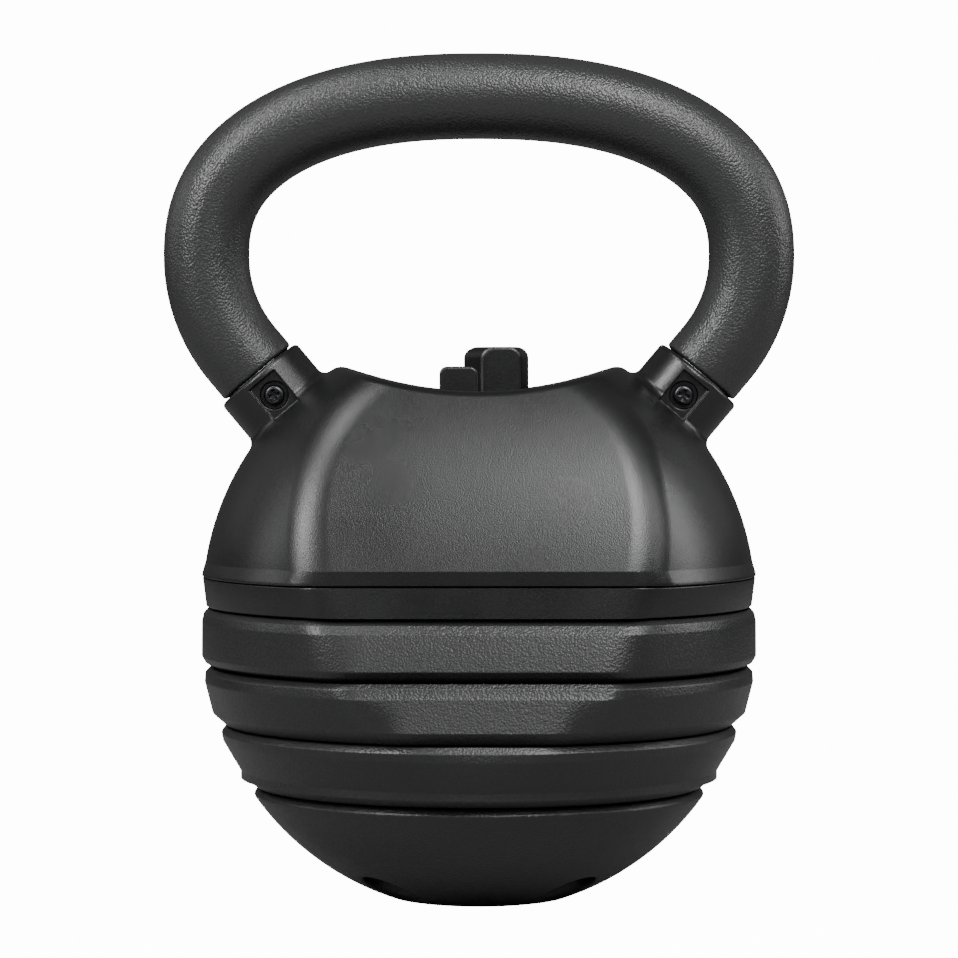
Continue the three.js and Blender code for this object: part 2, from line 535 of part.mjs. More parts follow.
function makeSelector() {
  const dialProfile = [
    [0, DIAL.bottom], [DIAL.flange, DIAL.bottom], [DIAL.flange, DIAL.step],
    [DIAL.disc, DIAL.step], [DIAL.disc, DIAL.top], [0, DIAL.top],
  ];
  let dial = cut(
    solid(turned(dialProfile)),
    rod(DIAL_SCREW.hole, DIAL.bottom - BEYOND, DIAL.top + BEYOND),
    rod(DIAL_SCREW.recess, DIAL.step, DIAL.top + BEYOND),
  );
  for (let setting = 0; setting <= CAM.count; setting += 1) {
    const width = [-DIAL_NOTCH.half, DIAL_NOTCH.half];
    const notch = block([DIAL_NOTCH.root, DIAL.flange + BEYOND], width, [DIAL.bottom - BEYOND, DIAL.step]);
    dial = cut(dial, notch.rotate([0, 0, -90 - STEP_ANGLE * setting]));
  }
  place('selector_dial', dial, 'nylon');

  const knob = new THREE.Shape([
    [KNOB.front[0], -KNOB.halfDepth], [KNOB.front[1], -KNOB.halfDepth], [KNOB.rear[1], 0],
    [KNOB.rear[1], KNOB.halfDepth], [KNOB.rear[0], KNOB.halfDepth], [KNOB.rear[0], 0],
  ].map(([x, y]) => new THREE.Vector2(x, y)));
  const knobBlock = new THREE.ExtrudeGeometry(knob, { depth: KNOB.top - KNOB.bottom, bevelEnabled: false });
  const profile = new THREE.Shape();
  const [left, right] = KNOB.rear;
  profile.moveTo(left, KNOB.bottom - BEYOND);
  profile.lineTo(right, KNOB.bottom - BEYOND);
  profile.absarc(right - KNOB.corner, KNOB.top - KNOB.corner, KNOB.corner, 0, Math.PI / 2, false);
  profile.absarc(left + KNOB.corner, KNOB.top - KNOB.corner, KNOB.corner, Math.PI / 2, Math.PI, false);
  const archReach = KNOB.halfDepth + BEYOND;
  const archOptions = { depth: 2 * archReach, bevelEnabled: false, curveSegments: 5 };
  const arch = new THREE.ExtrudeGeometry(profile, archOptions);
  arch.rotateX(Math.PI / 2).translate(0, archReach, 0);
  place('selector_knob', solid(knobBlock.translate(0, 0, KNOB.bottom)).intersect(solid(arch)), 'shell');

  const dialScrewHead = rod(DIAL_SCREW.head, DIAL.step + CLEARANCE, DIAL.top);
  const dialScrewShank = rod(SCREW.shank, SHAFT.top - DIAL_SCREW.length, DIAL.top - BEYOND);
  place('dial_screw', join(dialScrewHead, dialScrewShank), 'screw');

  const shoulderBottom = camTop(0) + CLEARANCE;
  const shoulderTop = CHASSIS.bottom - CLEARANCE;
  const shaft = turned([
    [0, SHAFT.bottom], [SHAFT.radius, SHAFT.bottom], [SHAFT.radius, shoulderBottom],
    [SHAFT.shoulderRadius, shoulderBottom], [SHAFT.shoulderRadius, shoulderTop],
    [SHAFT.radius, shoulderTop], [SHAFT.radius, SHAFT.top], [0, SHAFT.top],
  ], COLLAR_SEGMENTS);
  const shaftHole = rod(SCREW.hole, SHAFT.top - DIAL_SCREW.holeLength, SHAFT.top + BEYOND);
  place('selector_shaft', cut(solid(shaft), shaftHole), 'steel');

  for (let index = 0; index < CAM.count; index += 1) {
    const top = camTop(index);
    place(`locking_cam_${index + 1}`, lockingCam(top - CAM.thickness, top), 'steel');
    if (index + 1 < CAM.count) {
      const spacer = tubeRing(SHAFT.bore, CAM.hubRadius, camTop(index + 1) + CLEARANCE,
        top - CAM.thickness - CLEARANCE, COLLAR_SEGMENTS);
      place(`cam_spacer_${index + 1}`, spacer, 'steel');
    }
  }
  const nutTop = camTop(CAM.count - 1) - CAM.thickness - CLEARANCE;
  const nutBottom = nutTop - SHAFT_NUT.height;
  const nut = disc(SHAFT_NUT.radius, nutBottom, nutTop, SHAFT_NUT.sides);
  const thread = disc(SHAFT.bore, nutBottom - BEYOND, nutTop + BEYOND, COLLAR_SEGMENTS);
  place('shaft_nut', cut(nut, thread), 'steel');
}

// Each cam turns just under its weight's hub plate.
function camTop(index) {
  return topOf(index) - CLEARANCE - HUB_PLATE.thickness - CAM.gap;
}

// Cam with two opposite lobes, along +X and -X at the lightest setting.
function lockingCam(bottom, top) {
  const lobes = slicePair(CAM.lobeRadius, -CAM.lobeHalfAngle, CAM.lobeHalfAngle, bottom, top);
  const body = join(disc(CAM.hubRadius, bottom, top, COLLAR_SEGMENTS), lobes);
  return cut(body, disc(SHAFT.bore, bottom - BEYOND, top + BEYOND, COLLAR_SEGMENTS));
}

function makeRetainer() {
  const { radius, bottom, top } = RETAINER;
  const holes = [-1, 1].map((side) => (
    rod(SCREW.hole, bottom - BEYOND, top + BEYOND, side * RETAINER_POST.reach)
  ));
  const seat = disc(BUSHING.seat, bottom - BEYOND, top + BEYOND, COLLAR_SEGMENTS);
  place('dial_retainer', cut(disc(radius, bottom, top), seat, ...holes), 'steel');
  const sleeveBottom = bottom - BUSHING.sleeve;
  place('upper_bushing', tubeRing(SHAFT.bore, BUSHING.outer, sleeveBottom, top, COLLAR_SEGMENTS), 'nylon');
  for (const [word, side] of [['left', -1], ['right', 1]]) {
    const x = side * RETAINER_POST.reach;
    const headTop = bottom - CLEARANCE;
    const head = rod(SCREW.head, headTop - SCREW.headHeight, headTop, x);
    const shank = rod(SCREW.shank, headTop - BEYOND, RETAINER_POST.screwTop, x);
    place(`retainer_screw_${word}`, join(head, shank), 'screw');
  }
}

function makeLockSlider() {
  const tab = block(SLIDER.tab, [SLIDER.tabFront, SLIDER.tabFront + SLIDER.tabDepth],
    [SLIDER_BASE.z[0], SLIDER.top]);
  const base = block(SLIDER_BASE.x, SLIDER_BASE.y, SLIDER_BASE.z);
  const tongue = block([-SLIDER_BASE.tongueHalf, SLIDER_BASE.tongueHalf],
    [SLIDER_BASE.y[0], SLIDER_BASE.tongueTip], SLIDER_BASE.z);
  place('lock_slider', join(tab, base, tongue), 'shell');
}

makeBottomWeight();
[3, 2, 1].forEach(makePlate);
const columnSpots = makeShell();
makeSkirtAndChassis(columnSpots);
makeHandle();
makeSelector();
makeRetainer();
makeLockSlider();

export default kettlebell;
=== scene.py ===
"""Adjustable kettlebell: moulded skins, grip, knob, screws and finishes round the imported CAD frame."""
import itertools
import json
import math

import bmesh
import bpy
import numpy as np
from mathutils import Matrix, Vector


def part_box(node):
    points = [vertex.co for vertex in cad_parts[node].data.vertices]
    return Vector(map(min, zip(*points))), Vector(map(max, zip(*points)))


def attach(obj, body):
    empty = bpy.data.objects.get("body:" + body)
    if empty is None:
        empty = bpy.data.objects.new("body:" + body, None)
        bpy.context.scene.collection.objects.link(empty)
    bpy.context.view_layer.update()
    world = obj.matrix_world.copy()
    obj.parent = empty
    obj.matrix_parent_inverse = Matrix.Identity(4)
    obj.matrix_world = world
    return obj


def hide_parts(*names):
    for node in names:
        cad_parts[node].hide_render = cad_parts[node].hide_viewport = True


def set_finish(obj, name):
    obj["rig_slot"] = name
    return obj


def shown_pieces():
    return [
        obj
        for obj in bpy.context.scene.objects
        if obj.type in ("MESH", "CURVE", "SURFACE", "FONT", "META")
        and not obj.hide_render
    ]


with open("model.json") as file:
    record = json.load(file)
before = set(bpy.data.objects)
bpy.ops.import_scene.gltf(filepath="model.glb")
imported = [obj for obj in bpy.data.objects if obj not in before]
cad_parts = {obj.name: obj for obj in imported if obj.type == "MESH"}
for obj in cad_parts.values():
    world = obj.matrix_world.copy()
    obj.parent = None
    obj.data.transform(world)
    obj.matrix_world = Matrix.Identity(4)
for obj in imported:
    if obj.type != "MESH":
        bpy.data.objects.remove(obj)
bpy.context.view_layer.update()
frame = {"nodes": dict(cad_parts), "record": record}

# ---------------------------------------------------------------- driving dimensions, in millimetres
MM = 0.001
FINE = 1.0
SHARP = math.radians(40)               # edges folded more than this are shaded sharp
RIM = 2.0                              # width of the extra ring that keeps a level face's shading level
BODY_GRID, KNOB_GRID, SCREW_GRID, POCKET_SCREW_GRID = 0.9, 0.35, 0.2, 0.3
SOCKETS_X, SCREWS_Y = ((-103, -68), (68, 103)), ((-19, -13), (13, 19))     # finer grid round the sockets
BAND_AND_SCREWS_Z = ((125, 134), (184, 209))

LOWER_BALL = (107.7, 102.4)            # radius and centre height below the widest band
UPPER_BALL = (108.4, 115.0)
FLAT_DATUM, FLAT_DEPTH = 126.0, 87.7   # the front and back flats lean in above this height
UPPER_LEAN, UPPER_CURVE = 0.28, 0.0034
FLAT_HEIGHTS = (0, 60, 72, 88, 95.5, 114.2, 126)   # and out below it, in steps
FLAT_DEPTHS = (105, 100.4, 99.5, 95.2, 95.2, 89.3, 87.7)
FLAT_EDGE = 5.5                        # radius that softens the flats' side edges
SADDLE_RADIUS, SADDLE_LOW = 150.0, 198.4
SHELL_BOTTOM, SKIRT_TOP = 126.3, 125.9     # either side of the seam round the widest band
SHELL_WALL = 3.5
BAND_RISE, BAND_FLARE = 0.7, 4.4       # how far the shell flares at its foot, and over what height
BAND_TOP, BAND_DEPTH = 132.0, 86.15    # where the flats turn upright above the seam
SADDLE_EDGE, OPENING_EDGE, SLOT_EDGE, FOOT_EDGE, CAVITY_EDGE = 2.2, 0.8, 0.4, 0.5, 2.0

BOW_HALF_WIDTH, BOW_HEIGHT, BOW_RISE, BOW_POWER = 106.7, 251.0, 62.7, 2.35
BOW_ARC, BOW_DIVE, BOW_STRAIGHT = 59.2, math.radians(40), 10.3
GRIP_RADIUS, GRIP_GAP = 16.8, 0.5      # the gap is between the grip's end and the collar
GRIP_RIM, GRIP_LIP = 1.6, 4.0          # rounding of the grip's ends, and how far their faces reach in
GRIP_SEGMENTS, GRIP_ROWS, GRIP_SPAN = 96, 300, 3   # the span, each way, gives the direction of the bow

BOSS_RADIUS, BOSS_DEPTH, BOSS_BORE, BOSS_BORE_DEPTH = 19.0, 31.0, 13.6, 37.0
BOSS_FILLET, COLLAR_EDGE = 3.0, 1.8
SCREW_DEPTH, PAD_FACE, SCREW_SEAT, COUNTERBORE = 10.7, 16.6, 14.8, 5.5
PAD_HALF_LENGTH, PAD_HALF_WIDTH, PAD_EDGE, PAD_FLOOR_EDGE = 7.6, 6.2, 0.35, 0.3

DIAL_OPENING, OPENING_DEPTH, DIAL_DISC, DIAL_STEP = 25.5, 9.0, 25.0, 2.9
DIAL_GROOVE = (21.5, 21.2, 20.2, 19.9)     # radii of the groove round the dial's face
GROOVE_DEPTH = 0.5
NOTCH_REACH, NOTCH_RADIUS = 28.2, 4.4      # half-round notches where the lock's tongue enters
NOTCH_ANGLES = -90 - 22.5 * np.arange(5)
KNOB_TAPER, KNOB_LEFT_TAPER, KNOB_RIGHT_TAPER = 9.0, 7.0, 2.8
LEFT_SLOPE, RIGHT_SLOPE = 0.79, 0.955      # cosines of the tapers, which turn offsets into distances
TAB_LEFT, TAB_RIGHT, TAB_FRONT, TAB_DEPTH, TAB_TRAVEL = -15.2, -0.4, -38.0, 6.0, 4.0
TAB_BASE, TONGUE_HALF = 2.3, 2.0
SLIDE_GAP = 0.4

SKIN = 3.0                             # wall of the plate covers and the bowl
HUB_BORE = 34.0
CHANNEL_INSET = 4.0                    # how far inside the skin the casting's channel ends
PIN_REACH, PIN_HOLE, PIN_RADIUS, PIN_GAP = 60.0, 4.6, 4.0, 0.3

# Outer wall of each plate from its bottom edge up: (radius, height, how far the flats step in there).
PLATE_WALLS = {
    1: ([(104.3, 0, 4.4), (107.2, 1.2, 2.4), (108.6, 3.6, 0), (108.5, 17.2, 0), (107.8, 20.4, 1.4),
         (106.0, 22.2, 3.2)], (0.8, 1.4, 1.6, 2.0, 1.5, 0.8)),
    2: ([(99.4, 0, 4.4), (104.4, 4.4, 0), (107.5, 16.6, 0), (107.2, 20.2, 0.8), (105.2, 22.2, 2.4)],
        (0.8, 1.4, 2.0, 1.2, 0.8)),
    3: ([(87.8, 0, 0), (92.0, 3.5, 0), (100.4, 17.8, 0.9), (101.0, 21.0, 1.2), (99.2, 23.4, 2.6)],
        (0.8, 1.6, 2.0, 1.2, 0.8)),
}
PLATE_EDGES = {1: 3.0, 2: 1.2, 3: 2.0}     # radius that softens the side edges of each plate's flats

SKIRT_EDGE, SKIRT_FLOOR, SKIRT_INSET, SHAFT_HOLE = 2.5, 3.2, 0.6, 10.7
SKIRT_RADIUS_TOP, SKIRT_RADIUS_BOTTOM = 108.2, 106.8

LIP_HEIGHT, LIP_LEAN = 2.7, 0.67       # the bowl's outer lip leans in this much over its height
BOWL_FLOOR, PAD_GAP = 6.6, 0.3
POCKET_REACH, POCKET_RADIUS, POCKET_CEILING, POCKET_WALL = 48.0, 10.3, 14.0, 2.2
POCKETS = [(POCKET_REACH * math.cos(a), POCKET_REACH * math.sin(a)) for a in np.radians((45, 135, 225, 315))]
PAD_GROOVES, GROOVE_HALF = (12, 20, 28), 1.0

SOCKET_SCREW = (4.0, 2.6, 2.0, 13.2)   # head radius, head height, shank radius, shank length
POCKET_SCREW = (4.8, 2.4, 2.0, 12.0)
SCREW_PROUD, SCREW_SUNK, SCREW_TURN = 0.6, 0.3, 18


def box_mm(node):
    low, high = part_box(node)
    return np.array(low) / MM, np.array(high) / MM


SHELL_BOX, BOWL_BOX, PAD_BOX = box_mm("upper_shell"), box_mm("bottom_cover"), box_mm("base_pad")
DIAL_BOX, KNOB_BOX, TAB_BOX = box_mm("selector_dial"), box_mm("selector_knob"), box_mm("lock_slider")
SLIDER_SLOT = ((TAB_LEFT - SLIDE_GAP, TAB_FRONT - SLIDE_GAP, DIAL_BOX[0][2]),
               (TAB_RIGHT + SLIDE_GAP, TAB_FRONT + TAB_DEPTH + TAB_TRAVEL + SLIDE_GAP, SHELL_BOX[1][2]))


# ---------------------------------------------------------------- the body's outer form

def flat_depth(z):
    """Distance of the front and back flats from the middle plane, at a height."""
    rise = z - FLAT_DATUM
    above = FLAT_DEPTH - UPPER_LEAN * rise - UPPER_CURVE * rise * rise
    return np.where(rise < 0, np.interp(z, FLAT_HEIGHTS, FLAT_DEPTHS), above)


def ball_radius(ball, z):
    radius, centre = ball
    return np.sqrt(np.maximum(radius ** 2 - (z - centre) ** 2, 0))


def cut_round(a, b, radius):
    """Field of what two solids share, with a rounded edge."""
    inner = np.minimum(-radius, np.maximum(a, b))
    return inner + np.hypot(np.maximum(a + radius, 0), np.maximum(b + radius, 0))


def join_round(a, b, radius):
    """Field of two solids together, with a fillet between them."""
    outer = np.maximum(radius, np.minimum(a, b))
    return outer - np.hypot(np.maximum(radius - a, 0), np.maximum(radius - b, 0))


def drop_round(a, tool, radius):
    """Field of a solid with a tool cut out of it, with a rounded edge."""
    return cut_round(a, -tool, radius)


# ---------------------------------------------------------------- mesh making

def gradient(field, points, reach=0.02):
    """Slope of a field along X, Y and Z at each point."""
    slopes = []
    for axis in range(3):
        nudge = np.zeros(3)
        nudge[axis] = reach
        slopes.append((field(*(points + nudge).T) - field(*(points - nudge).T)) / (2 * reach))
    return np.stack(slopes, axis=1)


def new_piece(name, points, faces, body, slot, replaces=(), field=None):
    """Smooth mesh object from points in millimetres, riding on a body. A field, if given, shades it."""
    mesh = bpy.data.meshes.new(name)
    mesh.from_pydata((np.asarray(points) * MM).tolist(), [], [list(f) for f in faces])
    mesh.polygons.foreach_set("use_smooth", [True] * len(mesh.polygons))
    if field:
        slopes = gradient(field, points)
        mesh.normals_split_custom_set_from_vertices(slopes / np.linalg.norm(slopes, axis=1)[:, None])
    else:
        mesh.set_sharp_from_angle(angle=SHARP)
    mesh.update()
    piece = bpy.data.objects.new(name, mesh)
    bpy.context.scene.collection.objects.link(piece)
    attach(piece, body)
    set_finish(piece, slot)
    if replaces:
        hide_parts(*replaces)
    return piece


def settle(field, points, rounds=4):
    """Moves points onto the surface where the field is zero."""
    for _ in range(rounds):
        slope = gradient(field, points)
        size = np.maximum((slope ** 2).sum(1), 0.05)
        step = -(field(*points.T) / size)[:, None] * slope
        length = np.maximum(np.linalg.norm(step, axis=1), 1e-9)
        points = points + step * np.minimum(1, 0.5 / length)[:, None]
    return points


def relax(points, faces):
    """Each point moves half way to the mean of its neighbours."""
    edges = np.concatenate([faces[:, [i, (i + 1) % 4]] for i in range(4)])
    start, end = edges.T
    count = np.bincount(start, minlength=len(points)).astype(float)
    total = [np.bincount(start, weights=points[end, i], minlength=len(points)) for i in range(3)]
    mean = np.stack(total, axis=1) / np.maximum(count, 1)[:, None]
    return np.where(count[:, None] > 0, (points + mean) / 2, points)


def grid_ticks(low, high, step, zones):
    """Grid coordinates along one axis, twice as close together inside the zones (from, to)."""
    ticks = [low - 1.37 * step]
    while ticks[-1] < high + 1.2 * step:
        close = any(start <= ticks[-1] < end for start, end in zones)
        ticks.append(ticks[-1] + (step / 2 if close else step))
    return np.array(ticks)


def skin_of(field, low, high, step, zones=((), (), ())):
    """Points and quads of the surface where a field is zero, found on a grid and settled onto it."""
    step = step * FINE
    ticks = [grid_ticks(a, b, step, zone) for a, b, zone in zip(low, high, zones)]
    values = np.empty([len(t) for t in ticks], np.float32)
    plane_x, plane_y = np.meshgrid(ticks[0], ticks[1], indexing="ij")
    for k, z in enumerate(ticks[2]):
        values[:, :, k] = field(plane_x, plane_y, np.full_like(plane_x, z))
    inside = values < 0
    size = np.array(values.shape) - 1
    corners = list(itertools.product((0, 1), repeat=3))
    window = [inside[i:i + size[0], j:j + size[1], k:k + size[2]] for i, j, k in corners]
    filled = sum(w.astype(np.int8) for w in window)
    cells = np.argwhere((filled > 0) & (filled < 8))
    index = np.full(size, -1, np.int64)
    index[tuple(cells.T)] = np.arange(len(cells))

    total = np.zeros((len(cells), 3))
    count = np.zeros(len(cells))
    for start, end in itertools.combinations(corners, 2):
        if sum(abs(a - b) for a, b in zip(start, end)) != 1:
            continue
        va = values[tuple((cells + start).T)].astype(float)
        vb = values[tuple((cells + end).T)].astype(float)
        crossed = (va < 0) != (vb < 0)
        share = np.where(crossed, va / np.where(crossed, va - vb, 1), 0)[:, None]
        spot = np.array(start) + share * (np.array(end) - np.array(start))
        total += np.where(crossed[:, None], spot, 0)
        count += crossed
    share = total / count[:, None]
    points = np.stack([
        t[cells[:, axis]] + share[:, axis] * np.diff(t)[cells[:, axis]] for axis, t in enumerate(ticks)
    ], axis=1)

    quads = []
    for axis in range(3):
        first, second = (axis + 1) % 3, (axis + 2) % 3
        near = np.take(inside, range(size[axis]), axis=axis)
        far = np.take(inside, range(1, size[axis] + 1), axis=axis)
        for flip, mask in ((False, near & ~far), (True, far & ~near)):
            edge = np.argwhere(mask)
            edge = edge[(edge[:, first] > 0) & (edge[:, second] > 0)]
            edge = edge[(edge[:, first] < size[first]) & (edge[:, second] < size[second])]
            ring = []
            for a, b in ((-1, -1), (0, -1), (0, 0), (-1, 0)):
                cell = edge.copy()
                cell[:, first] += a
                cell[:, second] += b
                ring.append(index[tuple(cell.T)])
            quad = np.stack(ring, axis=1)
            quads.append(quad[:, ::-1] if flip else quad)
    faces = np.concatenate(quads)
    for _ in range(2):
        points = settle(field, relax(points, faces), rounds=2)
    return settle(field, points), faces


def inset_near(corners, i, spot):
    """Inset of the flats at a spot beside corner i, between the insets of the corners round it."""
    here = corners[i]
    if here[2] is None:
        return None
    ahead, back = corners[(i + 1) % len(corners)], corners[i - 1]
    other = ahead if abs(spot[1] - ahead[1]) < abs(here[1] - ahead[1]) else back
    if other[2] is None or other[1] == here[1]:
        return here[2]
    share = np.clip((spot[1] - here[1]) / (other[1] - here[1]), 0, 1)
    return here[2] + share * (other[2] - here[2])


def fillet(corners, radii, steps=4):
    """Closed outline with its corners rounded. A corner is (radius, z, inset of the flats or None)."""
    outline = []
    count = len(corners)
    for i, (corner, radius) in enumerate(zip(corners, radii)):
        here = np.array(corner[:2], float)
        if radius <= 0:
            outline.append(tuple(corner))
            continue
        back = np.array(corners[i - 1][:2], float) - here
        ahead = np.array(corners[(i + 1) % count][:2], float) - here
        back_dir, ahead_dir = back / np.linalg.norm(back), ahead / np.linalg.norm(ahead)
        angle = math.acos(np.clip(back_dir @ ahead_dir, -1, 1))
        reach = min(radius / math.tan(angle / 2), 0.45 * np.linalg.norm(back), 0.45 * np.linalg.norm(ahead))
        start, end = here + back_dir * reach, here + ahead_dir * reach
        for step in range(steps + 1):
            t = step / steps
            spot = (1 - t) ** 2 * start + 2 * t * (1 - t) * here + t * t * end
            outline.append((spot[0], spot[1], inset_near(corners, i, spot)))
    return outline


def flattened_reach(radius, flat, angle, edge):
    """Distance from the axis to a round wall cut by front and back flats with softened edges."""
    slope = np.maximum(np.abs(np.sin(angle)), 1e-6)
    plain = np.minimum(radius, flat / slope)
    a = 1 + slope ** 2
    b = -2 * ((radius - edge) + slope * (flat - edge))
    c = (radius - edge) ** 2 + (flat - edge) ** 2 - edge ** 2
    root = b * b - 4 * a * c
    soft = (-b + np.sqrt(np.maximum(root, 0))) / (2 * a)
    in_arc = (root > 0) & (soft - radius + edge > 0) & (soft * slope - flat + edge > 0)
    return np.where(in_arc, soft, plain)


def ring_mesh(outline, segments=256, edge=FLAT_EDGE):
    """Points and quads of a closed outline turned about Z, with flats where a corner has a flat inset."""
    angle = np.arange(segments) * 2 * math.pi / segments
    points = []
    for radius, z, inset in outline:
        if inset is None:
            reach = np.full(segments, radius)
        else:
            reach = flattened_reach(radius, float(flat_depth(z)) - inset, angle, edge)
        points.append(np.stack([reach * np.cos(angle), reach * np.sin(angle), np.full(segments, z)], axis=1))
    rows = len(outline)
    row, column = np.meshgrid(np.arange(rows), np.arange(segments), indexing="ij")
    here, up = row * segments + column, ((row + 1) % rows) * segments + column
    side = (column + 1) % segments
    faces = np.stack([here, row * segments + side, ((row + 1) % rows) * segments + side, up], axis=-1)
    return np.concatenate(points), faces.reshape(-1, 4)


def drill(piece, holes):
    """Cuts round vertical holes, each (x, y, radius, low z, high z) in millimetres."""
    cutters = bmesh.new()
    for x, y, radius, low, high in holes:
        place = Matrix.Translation(Vector((x, y, (low + high) / 2)) * MM)
        bmesh.ops.create_cone(cutters, cap_ends=True, segments=48, radius1=radius * MM, radius2=radius * MM,
                              depth=(high - low) * MM, matrix=place)
    mesh = bpy.data.meshes.new("drills")
    cutters.to_mesh(mesh)
    cutters.free()
    tool = bpy.data.objects.new("drills", mesh)
    bpy.context.scene.collection.objects.link(tool)
    modifier = piece.modifiers.new("holes", "BOOLEAN")
    modifier.operation, modifier.solver, modifier.object = "DIFFERENCE", "EXACT", tool
    bpy.context.view_layer.update()
    cut = bpy.data.meshes.new_from_object(piece.evaluated_get(bpy.context.evaluated_depsgraph_get()))
    piece.modifiers.clear()
    piece.data = cut
    bpy.data.objects.remove(tool)
    cut.set_sharp_from_angle(angle=SHARP)


# ---------------------------------------------------------------- handle

def half_bow():
    """Right-hand half of the grip's centre line, from the top middle down to the socket's collar."""
    points = []
    for angle in np.linspace(math.pi / 2, 0, 40):
        x = BOW_HALF_WIDTH * max(math.cos(angle), 0) ** (2 / BOW_POWER)
        points.append((x, BOW_HEIGHT + BOW_RISE * math.sin(angle) ** (2 / BOW_POWER)))
    for turn in np.linspace(0, BOW_DIVE, 14)[1:]:
        x = BOW_HALF_WIDTH - BOW_ARC * (1 - math.cos(turn))
        points.append((x, BOW_HEIGHT - BOW_ARC * math.sin(turn)))
    x, z = points[-1]
    points.append((x - BOW_STRAIGHT * math.sin(BOW_DIVE), z - BOW_STRAIGHT * math.cos(BOW_DIVE)))
    return np.array(points)


COLLAR = half_bow()[-1]


def make_grip():
    """Round grip swept along the bow, with rounded ends that stop just short of the collars."""
    half = half_bow()
    line = np.concatenate([half[::-1] * [-1, 1], half[1:]])
    length = np.concatenate([[0], np.cumsum(np.linalg.norm(np.diff(line, axis=0), axis=1))])
    straight = GRIP_GAP + GRIP_RIM
    spots = [(GRIP_GAP, GRIP_RADIUS - GRIP_LIP)]
    for turn in np.linspace(0, math.pi / 2, 6):
        rounded = GRIP_RADIUS - GRIP_RIM + GRIP_RIM * math.sin(turn)
        spots.append((GRIP_GAP + GRIP_RIM * (1 - math.cos(turn)), rounded))
    end = [(length[-1] - s, radius) for s, radius in spots[::-1]]
    spots += [(s, GRIP_RADIUS) for s in np.linspace(straight, length[-1] - straight, GRIP_ROWS)[1:-1]]
    spots += end
    around = np.arange(GRIP_SEGMENTS) * 2 * math.pi / GRIP_SEGMENTS
    points = []
    for s, radius in spots:
        before, centre, after = (
            np.array([np.interp(s + shift, length, line[:, axis]) for axis in range(2)])
            for shift in (-GRIP_SPAN, 0, GRIP_SPAN)
        )
        along = (after - before) / np.linalg.norm(after - before)
        across = np.array([-along[1], along[0]])
        flat = centre + np.outer(np.cos(around) * radius, across)
        points.append(np.stack([flat[:, 0], np.sin(around) * radius, flat[:, 1]], axis=1))
    rows, segments = len(spots), GRIP_SEGMENTS
    row, column = np.meshgrid(np.arange(rows - 1), np.arange(segments), indexing="ij")
    side = (column + 1) % segments
    faces = np.stack([row * segments + column, row * segments + side,
                      (row + 1) * segments + side, (row + 1) * segments + column], axis=-1).reshape(-1, 4)
    caps = [list(range(segments))[::-1], [(rows - 1) * segments + i for i in range(segments)]]
    new_piece("grip_sleeve", np.concatenate(points), faces.tolist() + caps,
              "handle_unit", "grip_sleeve", ["handle_grip"])


# ---------------------------------------------------------------- upper shell

def in_socket(side, x, z):
    """Depth below the collar and distance across the axis, in one socket's own directions."""
    dx, dz = side * x - COLLAR[0], z - COLLAR[1]
    depth = -dx * math.sin(BOW_DIVE) - dz * math.cos(BOW_DIVE)
    across = dx * math.cos(BOW_DIVE) - dz * math.sin(BOW_DIVE)
    return depth, across


def ball_body(x, y, z, inset, edge, lip, band=0.0):
    """Ball with flats and a saddle, inset on every side, with an optional raised band round its foot."""
    radius, centre = UPPER_BALL
    flare = band * np.clip((BAND_TOP - z) / BAND_FLARE, 0, 1)
    ball = np.sqrt(x * x + y * y + (z - centre) ** 2) - (radius - inset + flare)
    lean = UPPER_LEAN + 2 * UPPER_CURVE * np.maximum(z - FLAT_DATUM, 0)
    flat = (np.abs(y) - flat_depth(z) + inset) / np.sqrt(1 + lean ** 2)
    if band:
        flat = np.where(z < BAND_TOP, np.abs(y) - BAND_DEPTH, flat)
    saddle = SADDLE_RADIUS + inset - np.hypot(x, z - (SADDLE_LOW + SADDLE_RADIUS))
    return cut_round(cut_round(ball, flat, edge), saddle, lip)


def upright(x, y, radius, at=(0.0, 0.0)):
    return np.hypot(x - at[0], y - at[1]) - radius


def block(x, y, z, low, high):
    """Field of an upright block between two corners."""
    middle, half = (np.array(low) + high) / 2, (np.array(high) - low) / 2
    offset = [np.abs(v - m) - h for v, m, h in zip((x, y, z), middle, half)]
    return np.maximum(np.maximum(offset[0], offset[1]), offset[2])


